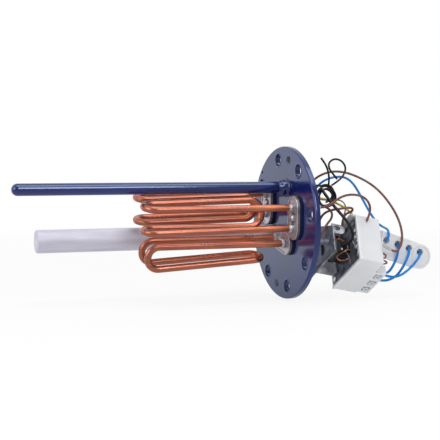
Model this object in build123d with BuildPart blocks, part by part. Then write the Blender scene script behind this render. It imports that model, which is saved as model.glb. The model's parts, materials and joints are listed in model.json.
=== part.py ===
import math
import os

from build123d import *

# Frame, in millimetres: the heaters run along X, with -X the wet side in the tank
# and +X the dry side. +Z is up. The origin is the flange's centre, on its wet face.

# Flange
flange_od = 180.0
flange_t = 6.0
flange_edge_r = 2.0
bolt_margin = 15.0
bolt_circle = flange_od - 2 * bolt_margin
bolt_count = 8
bolt_hole_d = 14.5
tapped_count = 2
tapped_hole_d = 11.5
pattern_clock = 12.5
twelve_o_clock = 90.0
hang_hole_d = 3.5
hang_hole_y = 61.0
hang_hole_z = 59.0

# Thermowell with its weld collar and the two sensing bulbs in it
well_y = -9.7
well_z = 42.0
well_d = 13.5
well_wall = 1.25
well_reach = 319.5
well_mouth = 3.0
well_fit = 0.1
collar_d = 22.0
collar_len = 9.0
bulb_d = 5.0
bulb_len = 110.0
bulb_pitch = 5.4
bulb_tip_gap = 4.0

# Magnesium anode
anode_y = 38.5
anode_z = -17.7
anode_d = 26.5
anode_reach = 285.0
anode_chamfer = 1.2
anode_stud_d = 8.0
anode_stud_in_rod = 30.0
anode_stud_out = 18.0
anode_bush_d = 20.0
anode_bush_t = 6.0
anode_spigot_d = 12.0
anode_washer_d = 20.0
anode_washer_t = 2.0
anode_nut_af = 13.0
anode_nut_t = 6.5

# Copper heaters: each is one tube with two outer legs and a folded-back middle
tube_d = 8.0
leg_pitch = 23.5
leg_out = 8.0
turn_slack = 0.4
leg_straight = 20.0
drift_r = 200.0

# Clamping plate, gasket, cap bolt and ferrules of each heater
plate_long = 50.5
plate_short = 27.0
plate_t = 3.5
plate_rim = 2.0
plate_dish = 0.8
gasket_t = 2.5
gasket_lip = 0.25
leg_fit = 0.1
ferrule_d = 11.0
ferrule_len = 4.0
flange_leg_hole_d = 9.6
clamp_d = 6.0
clamp_af = 10.0
clamp_head = 4.5
clamp_dome_r = 6.6
clamp_out = 7.5
clamp_nut_t = 5.0
clamp_flange_d = 12.0
clamp_flange_t = 1.6

# Terminals on the dry ends of the heaters
insulator_d = 7.6
insulator_len = 5.0
pin_d = 3.2
pin_len = 12.0
sleeve_d = 5.6
sleeve_len = 10.0
sleeve_lap = 7.0

# Housing pose: centre of its mouth, and how it is turned
housing_x = 81.0
housing_y = -6.0
housing_z = -37.0
housing_roll = 36.0
housing_pitch = 12.0
housing_yaw = -3.0

# Housing and the mounting plate in its mouth
housing_long = 72.0
housing_short = 62.0
housing_wall = 2.0
housing_depth = 29.0
housing_lip = 2.0
visor_reach = 7.0
mount_plate_t = 1.5
mount_plate_fit = 0.3
post_r = 4.0
post_inset = 6.0
plate_screw_d = 3.0
plate_screw_head_d = 5.6
plate_screw_head_t = 1.8
plate_screw_len = 9.0
spare_holes = [(-8.4, 25.3), (7.5, 25.3), (-10.0, -21.0), (6.0, -21.5), (20.0, -14.0)]
spare_hole_d = 4.0
spare_slot_len = 6.5

# Folded bracket between the flange and the mounting plate
sheet_t = 1.5
web_gap = 36.0
web_near = -35.7
web_far = 34.0
web_low = -26.5
web_high = 8.0
edge_fold = 5.0
lug_long = 22.0
lug_reach = 19.0
lug_hole_d = 10.0
side_low = -15.0
foot_len = 12.0
slot_x = -8.6
slot_y = -8.5
slot_len = 15.0
slot_w = 7.0
pillar_d = 7.0
pillar_screw_d = 4.0
pillar_screw_af = 7.0
pillar_screw_head = 3.2
pillar_bite = 6.0
pillar_near = (-23.4, -7.8)
pillar_far = (24.0, -10.0)

# Thermostat and cut-out in front of the mounting plate, in housing coordinates
stat_long = 26.0
stat_short = 14.0
stat_deep = 14.0
stat_x = 0.0
stat_y = -2.0
cutout_long = 22.0
cutout_short = 16.0
cutout_deep = 9.0
cutout_gap = 0.2
cutout_drop = 7.0
switch_screw_head_d = 5.0
switch_screw_head_t = 1.6
capillary_d = 1.8
body_chamfer = 0.6

# Three-way terminal strip behind the housing
strip_pitch = 14.8
strip_count = 3
strip_x = 9.4
strip_deep = 15.0
strip_high = 12.0
strip_margin = 3.0
strip_pocket = 9.4
strip_pocket_deep = 3.0
strip_screw_d = 4.0
strip_screw_head_d = 7.4
strip_screw_head_t = 2.6
driver_slot_w = 1.1
driver_slot_len = 4.6
driver_slot_deep = 1.0
strip_clamp = 8.8
strip_clamp_t = 1.0
strip_entry_w = 7.6
strip_entry_d = 3.8

# Four-way connector block, its left end against the housing's rear wall
block_gap = 2.5
block_y = -20.0
block_z = -20.5
block_slope = 18.5
block_pitch = 16.3
block_count = 4
block_first = 3.5
block_high = 30.0
block_drop = 5.0
block_deep = 18.0
block_end = 54.5
block_tail = 20.0
entry_d = 8.6
entry_deep = 9.0
block_clamp_d = 8.2
block_clamp_len = 3.0
block_ring = 1.2
block_ring_step = 0.8

# Earth screw and lug
earth_y = 15.0
earth_z = 22.0
earth_d = 5.0
earth_af = 8.0
earth_head = 3.5
earth_bite = 4.5
earth_ring_d = 10.0
lug_t = 1.0
barrel_d = 4.6
barrel_len = 10.3

# Wires
wire_d = 2.8
link_wire_d = 3.0
cable_d = 3.6
black_d = 2.4
end_sleeve_d = 4.0
end_sleeve_len = 12.0
end_sleeve_chamfer = 0.4
coil_r = 9.0
coil_band = 3.2
coil_centre = (52.1, -10.0, 32.4)
corner_share = 0.45

os.makedirs("parts", exist_ok=True)


def flange_spot(y, z, x=0.0):
    """A plane square to the heater axis, with local x along +Y and local y along +Z."""
    return Plane(origin=(x, y, z), x_dir=(0, 1, 0), z_dir=(1, 0, 0))


def turned(direction):
    """A direction of the housing before it was rolled, pitched and yawed."""
    rolled = Vector(*direction).rotate(Axis.X, -housing_roll)
    return rolled.rotate(Axis.Y, housing_pitch).rotate(Axis.Z, housing_yaw)


housing_plane = Plane(
    origin=(housing_x, housing_y, housing_z),
    x_dir=turned((0, 1, 0)),
    z_dir=turned((1, 0, 0)),
)


def in_housing(x, y, z):
    """A point given along the housing's long side, short side and depth."""
    return housing_plane.from_local_coords(Vector(x, y, z))


def housing_level(depth, x=0.0, y=0.0):
    """A plane parallel to the housing's mouth."""
    origin = in_housing(x, y, depth)
    return Plane(origin=origin, x_dir=housing_plane.x_dir, z_dir=housing_plane.z_dir)


def housing_side(x, y, z, facing):
    """A plane square to the housing's mouth, looking along one of its short axes."""
    normal = housing_plane.y_dir * facing
    return Plane(origin=in_housing(x, y, z), x_dir=housing_plane.x_dir, z_dir=normal)


def corner_radii(points):
    """Arc radii that make each bend of a route as large as its two runs allow."""
    spots = [Vector(*point) for point in points]
    radii = []
    for before, corner, after in zip(spots, spots[1:], spots[2:]):
        run_in = corner - before
        run_out = after - corner
        half_turn = math.radians(run_in.get_angle(run_out)) / 2
        shorter = min(run_in.length, run_out.length)
        radii.append(corner_share * shorter / math.tan(half_turn))
    return radii


def turn_radius(points, first):
    """The radius of two bends in a row that together make a round U-turn."""
    spots = [Vector(*point) for point in points[first - 1 : first + 3]]
    runs = [after - before for before, after in zip(spots, spots[1:])]
    half_turns = [math.radians(a.get_angle(b)) / 2 for a, b in zip(runs, runs[1:])]
    reach = sum(math.tan(half_turn) for half_turn in half_turns)
    return (runs[1].length - turn_slack) / reach


def tube_along(points, diameter, radii):
    """A round solid that follows straight runs joined by tangent arcs."""
    with BuildPart() as tube:
        with BuildLine() as route:
            FilletPolyline(*points, radius=radii)
        start = Plane(origin=route.line @ 0, z_dir=route.line % 0)
        with BuildSketch(start):
            Circle(diameter / 2)
        sweep()
    length = sum(edge.length for edge in route.edges())
    section = math.pi * diameter**2 / 4
    print(f"    length {length:.1f}, volume ratio {tube.part.volume / (section * length):.4f}")
    return tube


# Heater sites: plate centre, direction of the long axis and which way the middle folds.
# Each loop gives its places along the long axis at the far turn and at the near bend,
# and both share the two depths across. The lower leg drifts outwards beyond its plate.
heater_sites = [
    {
        "name": "1",
        "y": -40.4,
        "z": 7.5,
        "axis": 90.0,
        "side": -1,
        "turn": 178.0,
        "bend": 33.0,
        "drift": 2.6,
        "upper": (17.0, 20.6),
        "lower": (-9.7, -10.4),
        "across": (26.7, 26.7),
    },
    {
        "name": "2",
        "y": -8.0,
        "z": -20.4,
        "axis": 13.2,
        "side": -1,
        "turn": 171.0,
        "bend": 31.0,
        "drift": 0.0,
        "upper": (12.2, 11.9),
        "lower": (-12.4, -11.8),
        "across": (26.6, 18.4),
    },
    {
        "name": "3",
        "y": 36.0,
        "z": 21.5,
        "axis": 90.0,
        "side": 1,
        "turn": 172.3,
        "bend": 33.0,
        "drift": 2.6,
        "upper": (6.4, 9.7),
        "lower": (-19.1, -16.4),
        "across": (27.0, 27.0),
    },
]


def site_point(site, along, across, x):
    """World point of a heater: along its plate, across towards the fold, and depth x."""
    angle = math.radians(site["axis"])
    long_y, long_z = math.cos(angle), math.sin(angle)
    fold_y, fold_z = -site["side"] * long_z, site["side"] * long_y
    y = site["y"] + along * long_y + across * fold_y
    z = site["z"] + along * long_z + across * fold_z
    return (x, y, z)


def site_plane(site, x):
    """Plane on a heater's plate centre, local x along the plate's long axis."""
    angle = math.radians(site["axis"])
    long_axis = (0, math.cos(angle), math.sin(angle))
    return Plane(origin=(x, site["y"], site["z"]), x_dir=long_axis, z_dir=(1, 0, 0))


def cap_bolt(site):
    """One heater's bolt, its domed hexagon in the dish of the clamping plate."""
    with BuildPart() as bolt:
        with BuildSketch(site_plane(site, dish_x)):
            RegularPolygon(clamp_af / 2, 6, major_radius=False)
        extrude(amount=-clamp_head)
        crown_x = dish_x - clamp_head + clamp_dome_r
        with Locations((crown_x, site["y"], site["z"])):
            Sphere(clamp_dome_r, mode=Mode.INTERSECT)
        with BuildSketch(site_plane(site, dish_x)):
            Circle(clamp_d / 2)
        extrude(amount=flange_t + clamp_out - dish_x)
    return bolt.part


leg_spots = [(leg_pitch / 2, 0), (-leg_pitch / 2, 0)]
dry_end = flange_t + leg_out
dish_x = -gasket_t - plate_t + plate_dish

# Flange plate with its bolt pattern and every opening the other pieces need
with BuildPart() as flange_plate:
    with BuildSketch(flange_spot(0, 0)):
        Circle(flange_od / 2)
    extrude(amount=flange_t)
    fillet(flange_plate.edges().group_by(Axis.X)[0], radius=flange_edge_r)
    with BuildSketch(flange_spot(0, 0)):
        half_step = 180.0 / bolt_count
        first_hole = twelve_o_clock + pattern_clock + half_step
        with PolarLocations(bolt_circle / 2, bolt_count, start_angle=first_hole):
            Circle(bolt_hole_d / 2)
        first_tapped = twelve_o_clock + pattern_clock
        with PolarLocations(bolt_circle / 2, tapped_count, start_angle=first_tapped):
            Circle(tapped_hole_d / 2)
        with Locations((hang_hole_y, hang_hole_z)):
            Circle(hang_hole_d / 2)
        with Locations((well_y, well_z)):
            Circle(well_d / 2 + well_fit)
        with Locations((anode_y, anode_z)):
            Circle(anode_spigot_d / 2 + well_fit)
    extrude(amount=flange_t, mode=Mode.SUBTRACT)
    with BuildSketch(flange_spot(earth_y, earth_z, flange_t)):
        Circle(earth_d / 2)
    extrude(amount=-earth_bite, mode=Mode.SUBTRACT)
    for site in heater_sites:
        with BuildSketch(site_plane(site, 0)):
            with Locations(*leg_spots):
                Circle(flange_leg_hole_d / 2)
            Circle(clamp_d / 2 + leg_fit)
        extrude(amount=flange_t, mode=Mode.SUBTRACT)
flange_plate.part.label = "flange_plate"
export_step(flange_plate.part, "parts/flange_plate.step")

# Thermowell: a tube closed by a round tip, open on the dry side
well_r = well_d / 2
well_bore_r = well_r - well_wall
well_back = flange_t + well_mouth
well_tip_x = well_r - well_reach
with BuildPart() as thermowell_tube:
    with BuildSketch(flange_spot(well_y, well_z, well_tip_x)):
        Circle(well_r)
    extrude(amount=well_back - well_tip_x)
    with Locations((well_tip_x, well_y, well_z)):
        Sphere(well_r)
    with BuildSketch(flange_spot(well_y, well_z, well_tip_x)):
        Circle(well_bore_r)
    extrude(amount=well_back - well_tip_x, mode=Mode.SUBTRACT)
    with Locations((well_tip_x, well_y, well_z)):
        Sphere(well_bore_r, mode=Mode.SUBTRACT)
thermowell_tube.part.label = "thermowell_tube"
export_step(thermowell_tube.part, "parts/thermowell_tube.step")

# Weld collar: a cone of weld metal around the thermowell, on the wet face
with BuildPart() as thermowell_collar:
    with BuildSketch(flange_spot(well_y, well_z)):
        Circle(collar_d / 2)
    with BuildSketch(flange_spot(well_y, well_z, -collar_len)):
        Circle(well_r + 2 * well_wall)
    loft()
    fillet(thermowell_collar.edges().group_by(Axis.X)[0], radius=well_wall)
    with BuildSketch(flange_spot(well_y, well_z, -collar_len)):
        Circle(well_r + well_fit)
    extrude(amount=collar_len, mode=Mode.SUBTRACT)
thermowell_collar.part.label = "thermowell_collar"
export_step(thermowell_collar.part, "parts/thermowell_collar.step")

# Sensing bulbs, side by side at the closed end of the thermowell
bulb_start = well_tip_x + bulb_tip_gap
for name, offset in (("thermostat_bulb", bulb_pitch / 2), ("cutout_bulb", -bulb_pitch / 2)):
    with BuildPart() as bulb:
        with BuildSketch(flange_spot(well_y + offset, well_z, bulb_start)):
            Circle(bulb_d / 2)
        extrude(amount=bulb_len)
        fillet(bulb.edges().filter_by(GeomType.CIRCLE), radius=bulb_d / 4)
    bulb.part.label = name
    export_step(bulb.part, f"parts/{name}.step")

# Anode rod, bored for its stud
with BuildPart() as anode_rod:
    with BuildSketch(flange_spot(anode_y, anode_z, -anode_reach)):
        Circle(anode_d / 2)
    extrude(amount=anode_reach - anode_bush_t)
    chamfer(anode_rod.edges().group_by(Axis.X)[0], length=anode_chamfer)
    with BuildSketch(flange_spot(anode_y, anode_z, -anode_bush_t)):
        Circle(anode_stud_d / 2 + leg_fit)
    extrude(amount=-anode_stud_in_rod, mode=Mode.SUBTRACT)
anode_rod.part.label = "anode_rod"
export_step(anode_rod.part, "parts/anode_rod.step")

# Anode stud through the flange, insulated from it by a stepped bush
anode_stud_end = flange_t + anode_stud_out
with BuildPart() as anode_stud:
    with BuildSketch(flange_spot(anode_y, anode_z, -anode_bush_t - anode_stud_in_rod)):
        Circle(anode_stud_d / 2)
    extrude(amount=anode_bush_t + anode_stud_in_rod + anode_stud_end)
    chamfer(anode_stud.edges().group_by(Axis.X)[-1], length=anode_chamfer / 2)
anode_stud.part.label = "anode_stud"
export_step(anode_stud.part, "parts/anode_stud.step")

with BuildPart() as anode_bush:
    with BuildSketch(flange_spot(anode_y, anode_z, -anode_bush_t)):
        Circle(anode_bush_d / 2)
    extrude(amount=anode_bush_t)
    with BuildSketch(flange_spot(anode_y, anode_z)):
        Circle(anode_spigot_d / 2)
    extrude(amount=flange_t)
    with BuildSketch(flange_spot(anode_y, anode_z, -anode_bush_t)):
        Circle(anode_stud_d / 2 + leg_fit)
    extrude(amount=anode_bush_t + flange_t, mode=Mode.SUBTRACT)
anode_bush.part.label = "anode_bush"
export_step(anode_bush.part, "parts/anode_bush.step")

with BuildPart() as anode_washer:
    with BuildSketch(flange_spot(anode_y, anode_z, flange_t)):
        Circle(anode_washer_d / 2)
        Circle(anode_stud_d / 2 + leg_fit, mode=Mode.SUBTRACT)
    extrude(amount=anode_washer_t)
anode_washer.part.label = "anode_washer"
export_step(anode_washer.part, "parts/anode_washer.step")

with BuildPart() as anode_nut:
    with BuildSketch(flange_spot(anode_y, anode_z, flange_t + anode_washer_t)):
        RegularPolygon(anode_nut_af / 2, 6, major_radius=False)
        Circle(anode_stud_d / 2 + leg_fit, mode=Mode.SUBTRACT)
    extrude(amount=anode_nut_t)
anode_nut.part.label = "anode_nut"
export_step(anode_nut.part, "parts/anode_nut.step")

# The three heaters, each with its own gasket and clamping plate
for site in heater_sites:
    name = site["name"]
    far_deep, near_deep = site["across"]
    return_upper, bend_upper = site["upper"]
    return_lower, bend_lower = site["lower"]
    half_pitch = leg_pitch / 2
    route = [
        site_point(site, half_pitch, 0, dry_end),
        site_point(site, half_pitch, 0, -site["turn"]),
        site_point(site, return_upper, far_deep, -site["turn"]),
        site_point(site, bend_upper, near_deep, -site["bend"]),
        site_point(site, bend_lower, near_deep, -site["bend"]),
        site_point(site, return_lower, far_deep, -site["turn"]),
        site_point(site, -half_pitch - site["drift"], 0, -site["turn"]),
        site_point(site, -half_pitch, 0, dry_end),
    ]
    radii = []
    for first in (1, 3, 5):
        radii += 2 * [turn_radius(route, first)]
    if site["drift"]:
        route.insert(-1, site_point(site, -half_pitch, 0, -leg_straight))
        radii.append(drift_r)
    print(f"heating_element_{name}: radii", [round(radius, 1) for radius in radii])
    heating_element = tube_along(route, tube_d, radii)
    heating_element.part.label = f"heating_element_{name}"
    export_step(heating_element.part, f"parts/heating_element_{name}.step")

    with BuildPart() as element_gasket:
        with BuildSketch(site_plane(site, -gasket_t)):
            SlotOverall(plate_long + 2 * gasket_lip, plate_short + 2 * gasket_lip)
            with Locations(*leg_spots):
                Circle(tube_d / 2 + leg_fit, mode=Mode.SUBTRACT)
            Circle(clamp_d / 2 + leg_fit, mode=Mode.SUBTRACT)
        extrude(amount=gasket_t)
    element_gasket.part.label = f"element_gasket_{name}"
    export_step(element_gasket.part, f"parts/element_gasket_{name}.step")

    with BuildPart() as element_plate:
        with BuildSketch(site_plane(site, -gasket_t - plate_t)):
            SlotOverall(plate_long, plate_short)
        extrude(amount=plate_t)
        rim_edges = element_plate.edges().group_by(Axis.X)[0]
        fillet(rim_edges, radius=plate_dish)
        with BuildSketch(site_plane(site, -gasket_t - plate_t)):
            SlotOverall(plate_long - 2 * plate_rim, plate_short - 2 * plate_rim)
        extrude(amount=plate_dish, mode=Mode.SUBTRACT)
        with BuildSketch(site_plane(site, -gasket_t - plate_t)):
            with Locations(*leg_spots):
                Circle(tube_d / 2 + leg_fit)
            Circle(clamp_d / 2 + leg_fit)
        extrude(amount=plate_t, mode=Mode.SUBTRACT)
    element_plate.part.label = f"element_plate_{name}"
    export_step(element_plate.part, f"parts/element_plate_{name}.step")

# Ferrules brazed round each leg, on the dished face of the clamping plates
with BuildPart() as leg_ferrules:
    for site in heater_sites:
        with BuildSketch(site_plane(site, dish_x)):
            with Locations(*leg_spots):
                Circle(ferrule_d / 2)
                Circle(tube_d / 2 + leg_fit, mode=Mode.SUBTRACT)
        extrude(amount=-ferrule_len)
    outer_rims = leg_ferrules.edges().filter_by(GeomType.CIRCLE)
    top_rims = outer_rims.group_by(Axis.X)[0].filter_by(lambda e: e.radius > tube_d / 2 + 1)
    chamfer(top_rims, length=(ferrule_d - tube_d) / 4)
leg_ferrules.part.label = "leg_ferrules"
export_step(leg_ferrules.part, "parts/leg_ferrules.step")

# Cap bolts between the legs: a domed hexagon on the wet side, the thread on the dry side
cap_bolts = [cap_bolt(site) for site in heater_sites]
with BuildPart() as clamp_bolts:
    for bolt in cap_bolts:
        add(bolt)
clamp_bolts.part.label = "clamp_bolts"
export_step(clamp_bolts.part, "parts/clamp_bolts.step")

with BuildPart() as clamp_nuts:
    for site in heater_sites:
        with BuildSketch(site_plane(site, flange_t)):
            Circle(clamp_flange_d / 2)
        extrude(amount=clamp_flange_t)
        with BuildSketch(site_plane(site, flange_t)):
            RegularPolygon(clamp_af / 2, 6, major_radius=False)
        extrude(amount=clamp_nut_t)
        with BuildSketch(site_plane(site, flange_t)):
            Circle(clamp_d / 2 + leg_fit)
        extrude(amount=clamp_nut_t, mode=Mode.SUBTRACT)
clamp_nuts.part.label = "clamp_nuts"
export_step(clamp_nuts.part, "parts/clamp_nuts.step")

# Terminals: an insulating bead, a pin and a push-on sleeve on each dry end
pin_end = dry_end + pin_len
sleeve_start = pin_end - sleeve_lap
with BuildPart() as terminal_insulators:
    for site in heater_sites:
        with BuildSketch(site_plane(site, dry_end)):
            with Locations(*leg_spots):
                Circle(insulator_d / 2)
                Circle(pin_d / 2 + leg_fit, mode=Mode.SUBTRACT)
        extrude(amount=insulator_len)
terminal_insulators.part.label = "terminal_insulators"
export_step(terminal_insulators.part, "parts/terminal_insulators.step")

with BuildPart() as terminal_pins:
    for site in heater_sites:
        with BuildSketch(site_plane(site, dry_end)):
            with Locations(*leg_spots):
                Circle(pin_d / 2)
        extrude(amount=pin_len)
terminal_pins.part.label = "terminal_pins"
export_step(terminal_pins.part, "parts/terminal_pins.step")

with BuildPart() as terminal_sleeves:
    for site in heater_sites:
        with BuildSketch(site_plane(site, sleeve_start)):
            with Locations(*leg_spots):
                Circle(sleeve_d / 2)
        extrude(amount=sleeve_len)
        with BuildSketch(site_plane(site, sleeve_start)):
            with Locations(*leg_spots):
                Circle(pin_d / 2 + leg_fit)
        extrude(amount=sleeve_lap, mode=Mode.SUBTRACT)
terminal_sleeves.part.label = "terminal_sleeves"
export_step(terminal_sleeves.part, "parts/terminal_sleeves.step")

# Mounting plate in the housing's mouth, with its row of spare holes
plate_x = housing_long - 2 * (housing_wall + mount_plate_fit)
plate_y = housing_short - 2 * (housing_wall + mount_plate_fit)
post_x = housing_long / 2 - housing_wall - post_inset
post_y = housing_short / 2 - housing_wall - post_inset
post_spots = [(post_x, post_y), (-post_x, post_y), (-post_x, -post_y), (post_x, -post_y)]
cutout_x = post_x - plate_screw_head_d / 2 - cutout_gap - cutout_long / 2
cutout_y = post_y - cutout_drop
plate_front = -mount_plate_t
with BuildPart() as mounting_plate:
    with BuildSketch(housing_level(plate_front)):
        Rectangle(plate_x, plate_y)
        with Locations(*post_spots):
            Circle(plate_screw_d / 2 + leg_fit, mode=Mode.SUBTRACT)
        with Locations(*spare_holes):
            SlotOverall(spare_slot_len, spare_hole_d, rotation=90, mode=Mode.SUBTRACT)
    extrude(amount=mount_plate_t)
mounting_plate.part.label = "mounting_plate"
export_step(mounting_plate.part, "parts/mounting_plate.step")

# White housing: a moulded tray behind the plate, its top wall reaching forward as a visor
with BuildPart() as housing:
    with BuildSketch(housing_level(-housing_lip)):
        Rectangle(housing_long, housing_short)
    extrude(amount=housing_depth + housing_lip)
    with BuildSketch(housing_level(-housing_lip)):
        Rectangle(housing_long - 2 * housing_wall, housing_short - 2 * housing_wall)
    extrude(amount=housing_depth + housing_lip - housing_wall, mode=Mode.SUBTRACT)
    with BuildSketch(housing_level(-housing_lip)):
        with Locations((0, (housing_short - housing_wall) / 2)):
            Rectangle(housing_long, housing_wall)
    extrude(amount=-visor_reach)
    with BuildSketch(housing_level(0)):
        with Locations(*post_spots):
            Circle(post_r)
    extrude(amount=housing_depth - housing_wall)
    with BuildSketch(housing_level(0)):
        with Locations(*post_spots):
            Circle(plate_screw_d / 2)
    extrude(amount=plate_screw_len, mode=Mode.SUBTRACT)
housing.part.label = "housing"
export_step(housing.part, "parts/housing.step")

with BuildPart() as plate_screws:
    with BuildSketch(housing_level(plate_front)):
        with Locations(*post_spots):
            Circle(plate_screw_head_d / 2)
    extrude(amount=-plate_screw_head_t)
    with BuildSketch(housing_level(plate_front)):
        with Locations(*post_spots):
            Circle(plate_screw_d / 2)
    extrude(amount=plate_screw_len)
plate_screws.part.label = "plate_screws"
export_step(plate_screws.part, "parts/plate_screws.step")

# Folded bracket: a slotted web near the flange, its folds, a lug, and a far side wall
# that runs back to a foot on the mounting plate
web_front = -web_gap
foot_start = plate_front - sheet_t
with BuildPart() as support_bracket:
    web_mid_x = (web_near + web_far) / 2
    web_mid_y = (web_low + web_high) / 2
    with BuildSketch(housing_level(web_front, web_mid_x, web_mid_y)):
        Rectangle(web_far - web_near, web_high - web_low)
    extrude(amount=sheet_t)
    with BuildSketch(housing_level(web_front, web_near + sheet_t / 2, web_mid_y)):
        Rectangle(sheet_t, web_high - web_low)
    extrude(amount=edge_fold)
    with BuildSketch(housing_level(web_front, web_mid_x, web_low + sheet_t / 2)):
        Rectangle(web_far - web_near, sheet_t)
    extrude(amount=edge_fold)
    lug_mid_x = web_near + lug_long / 2
    with BuildSketch(housing_level(web_front, lug_mid_x, web_high - sheet_t / 2)):
        Rectangle(lug_long, sheet_t)
    extrude(amount=lug_reach)
    side_mid_y = (side_low + web_high) / 2
    with BuildSketch(housing_level(web_front, web_far - sheet_t / 2, side_mid_y)):
        Rectangle(sheet_t, web_high - side_low)
    extrude(amount=web_gap + plate_front)
    with BuildSketch(housing_level(foot_start, web_far - foot_len / 2, side_mid_y)):
        Rectangle(foot_len, web_high - side_low)
    extrude(amount=sheet_t)
    with BuildSketch(housing_level(web_front, slot_x, slot_y)):
        SlotOverall(slot_len, slot_w, rotation=90)
    extrude(amount=sheet_t, mode=Mode.SUBTRACT)
    with BuildSketch(housing_level(web_front)):
        with Locations(pillar_near, pillar_far):
            Circle(pillar_screw_d / 2 + leg_fit)
    extrude(amount=sheet_t, mode=Mode.SUBTRACT)
    lug_hole_z = web_front + lug_reach / 2
    with BuildSketch(housing_side(lug_mid_x, web_high, lug_hole_z, -1)):
        Circle(lug_hole_d / 2)
    extrude(amount=sheet_t, mode=Mode.SUBTRACT)
support_bracket.part.label = "support_bracket"
export_step(support_bracket.part, "parts/support_bracket.step")


def stand_off(spot):
    """A pillar from the flange's dry face to the web, tapped square to the web."""
    foot = in_housing(spot[0], spot[1], web_front)
    with BuildPart() as pillar:
        with BuildSketch(flange_spot(foot.Y, foot.Z, flange_t)):
            Circle(pillar_d / 2)
        extrude(amount=foot.X - flange_t + pillar_d)
        split(bisect_by=housing_level(web_front), keep=Keep.BOTTOM)
        with BuildSketch(housing_level(web_front, *spot)):
            Circle(pillar_screw_d / 2)
        extrude(amount=-pillar_bite, mode=Mode.SUBTRACT)
    return pillar.part


pillars = [stand_off(spot) for spot in (pillar_near, pillar_far)]
with BuildPart() as bracket_pillars:
    for pillar in pillars:
        add(pillar)
bracket_pillars.part.label = "bracket_pillars"
export_step(bracket_pillars.part, "parts/bracket_pillars.step")

web_back = web_front + sheet_t
with BuildPart() as bracket_bolts:
    with BuildSketch(housing_level(web_back)):
        with Locations(pillar_near, pillar_far):
            RegularPolygon(pillar_screw_af / 2, 6, major_radius=False)
    extrude(amount=pillar_screw_head)
    with BuildSketch(housing_level(web_back)):
        with Locations(pillar_near, pillar_far):
            Circle(pillar_screw_d / 2)
    extrude(amount=-sheet_t - pillar_bite)
bracket_bolts.part.label = "bracket_bolts"
export_step(bracket_bolts.part, "parts/bracket_bolts.step")

# Thermostat and cut-out bodies on the mounting plate
with BuildPart() as thermostat_body:
    with BuildSketch(housing_level(plate_front, stat_x, stat_y)):
        Rectangle(stat_long, stat_short)
    extrude(amount=-stat_deep)
    chamfer(thermostat_body.edges(), length=body_chamfer)
thermostat_body.part.label = "thermostat_body"
export_step(thermostat_body.part, "parts/thermostat_body.step")

with BuildPart() as cutout_body:
    with BuildSketch(housing_level(plate_front, cutout_x, cutout_y)):
        Rectangle(cutout_long, cutout_short)
    extrude(amount=-cutout_deep)
    chamfer(cutout_body.edges(), length=body_chamfer)
cutout_body.part.label = "cutout_body"
export_step(cutout_body.part, "parts/cutout_body.step")

switch_spots = [
    (stat_x - stat_long / 2 + switch_screw_head_d, stat_y, stat_deep),
    (stat_x + stat_long / 2 - switch_screw_head_d, stat_y, stat_deep),
    (cutout_x, cutout_y, cutout_deep),
]
with BuildPart() as switch_screws:
    for x, y, deep in switch_spots:
        with BuildSketch(housing_level(plate_front - deep, x, y)):
            Circle(switch_screw_head_d / 2)
        extrude(amount=-switch_screw_head_t)
switch_screws.part.label = "switch_screws"
export_step(switch_screws.part, "parts/switch_screws.step")

# Copper capillaries on the mounting plate, in housing coordinates: a flat loop that
# drops onto the thermostat, and a hook that returns to the plate below it
stat_top = stat_y + stat_short / 2
stat_loop = [
    (-5.9, 11.2, plate_front),
    (-5.9, 11.2, -5.0),
    (-5.0, 13.6, -8.5),
    (-3.0, 13.8, -12.0),
    (-0.6, 12.4, -13.7),
    (0.2, 10.0, -12.3),
    (-2.5, 8.2, -9.8),
    (-6.2, 7.6, -8.4),
    (-6.2, stat_top, -8.4),
]
stat_hook = [
    (-15.5, -7.0, plate_front),
    (-15.5, -7.0, -6.0),
    (-13.0, -10.7, -11.5),
    (-8.5, -11.4, -15.2),
    (-4.2, -13.4, -15.8),
    (-3.8, -16.6, -12.0),
    (-7.6, -17.6, -7.5),
    (-11.5, -17.6, -5.5),
    (-11.5, -17.6, plate_front),
]
for name, local_route in (("thermostat_loop", stat_loop), ("thermostat_hook", stat_hook)):
    route = [tuple(in_housing(*point)) for point in local_route]
    radii = corner_radii(route)
    print(f"{name}: radii", [round(radius, 1) for radius in radii])
    capillary = tube_along(route, capillary_d, radii)
    capillary.part.label = name
    export_step(capillary.part, f"parts/{name}.step")

# Three-way terminal strip on the housing's rear wall, its screws facing outwards
strip_long = strip_count * strip_pitch + strip_margin
strip_low = -housing_short / 2
strip_mid_z = housing_depth + strip_deep / 2
strip_mid_y = strip_low + strip_high / 2
strip_spots = [(0.0, 0.0)]
for step in range(1, strip_count // 2 + 1):
    strip_spots += [(step * strip_pitch, 0.0), (-step * strip_pitch, 0.0)]
with BuildPart() as terminal_strip:
    with BuildSketch(housing_level(housing_depth, strip_x, strip_mid_y)):
        Rectangle(strip_long, strip_high)
    extrude(amount=strip_deep)
    with BuildSketch(housing_side(strip_x, strip_low, strip_mid_z, -1)):
        with Locations(*strip_spots):
            Rectangle(strip_pocket, strip_pocket)
    extrude(amount=-strip_pocket_deep, mode=Mode.SUBTRACT)
    with BuildSketch(housing_level(housing_depth + strip_deep, strip_x, strip_mid_y)):
        with Locations(*strip_spots):
            SlotOverall(strip_entry_w, strip_entry_d)
    extrude(amount=-strip_pocket_deep, mode=Mode.SUBTRACT)
    with BuildSketch(housing_side(strip_x, strip_low, strip_mid_z, -1)):
        with Locations(*strip_spots):
            Circle(strip_screw_d / 2 + leg_fit)
    extrude(amount=-strip_high + strip_margin, mode=Mode.SUBTRACT)
terminal_strip.part.label = "terminal_strip"
export_step(terminal_strip.part, "parts/terminal_strip.step")

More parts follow.
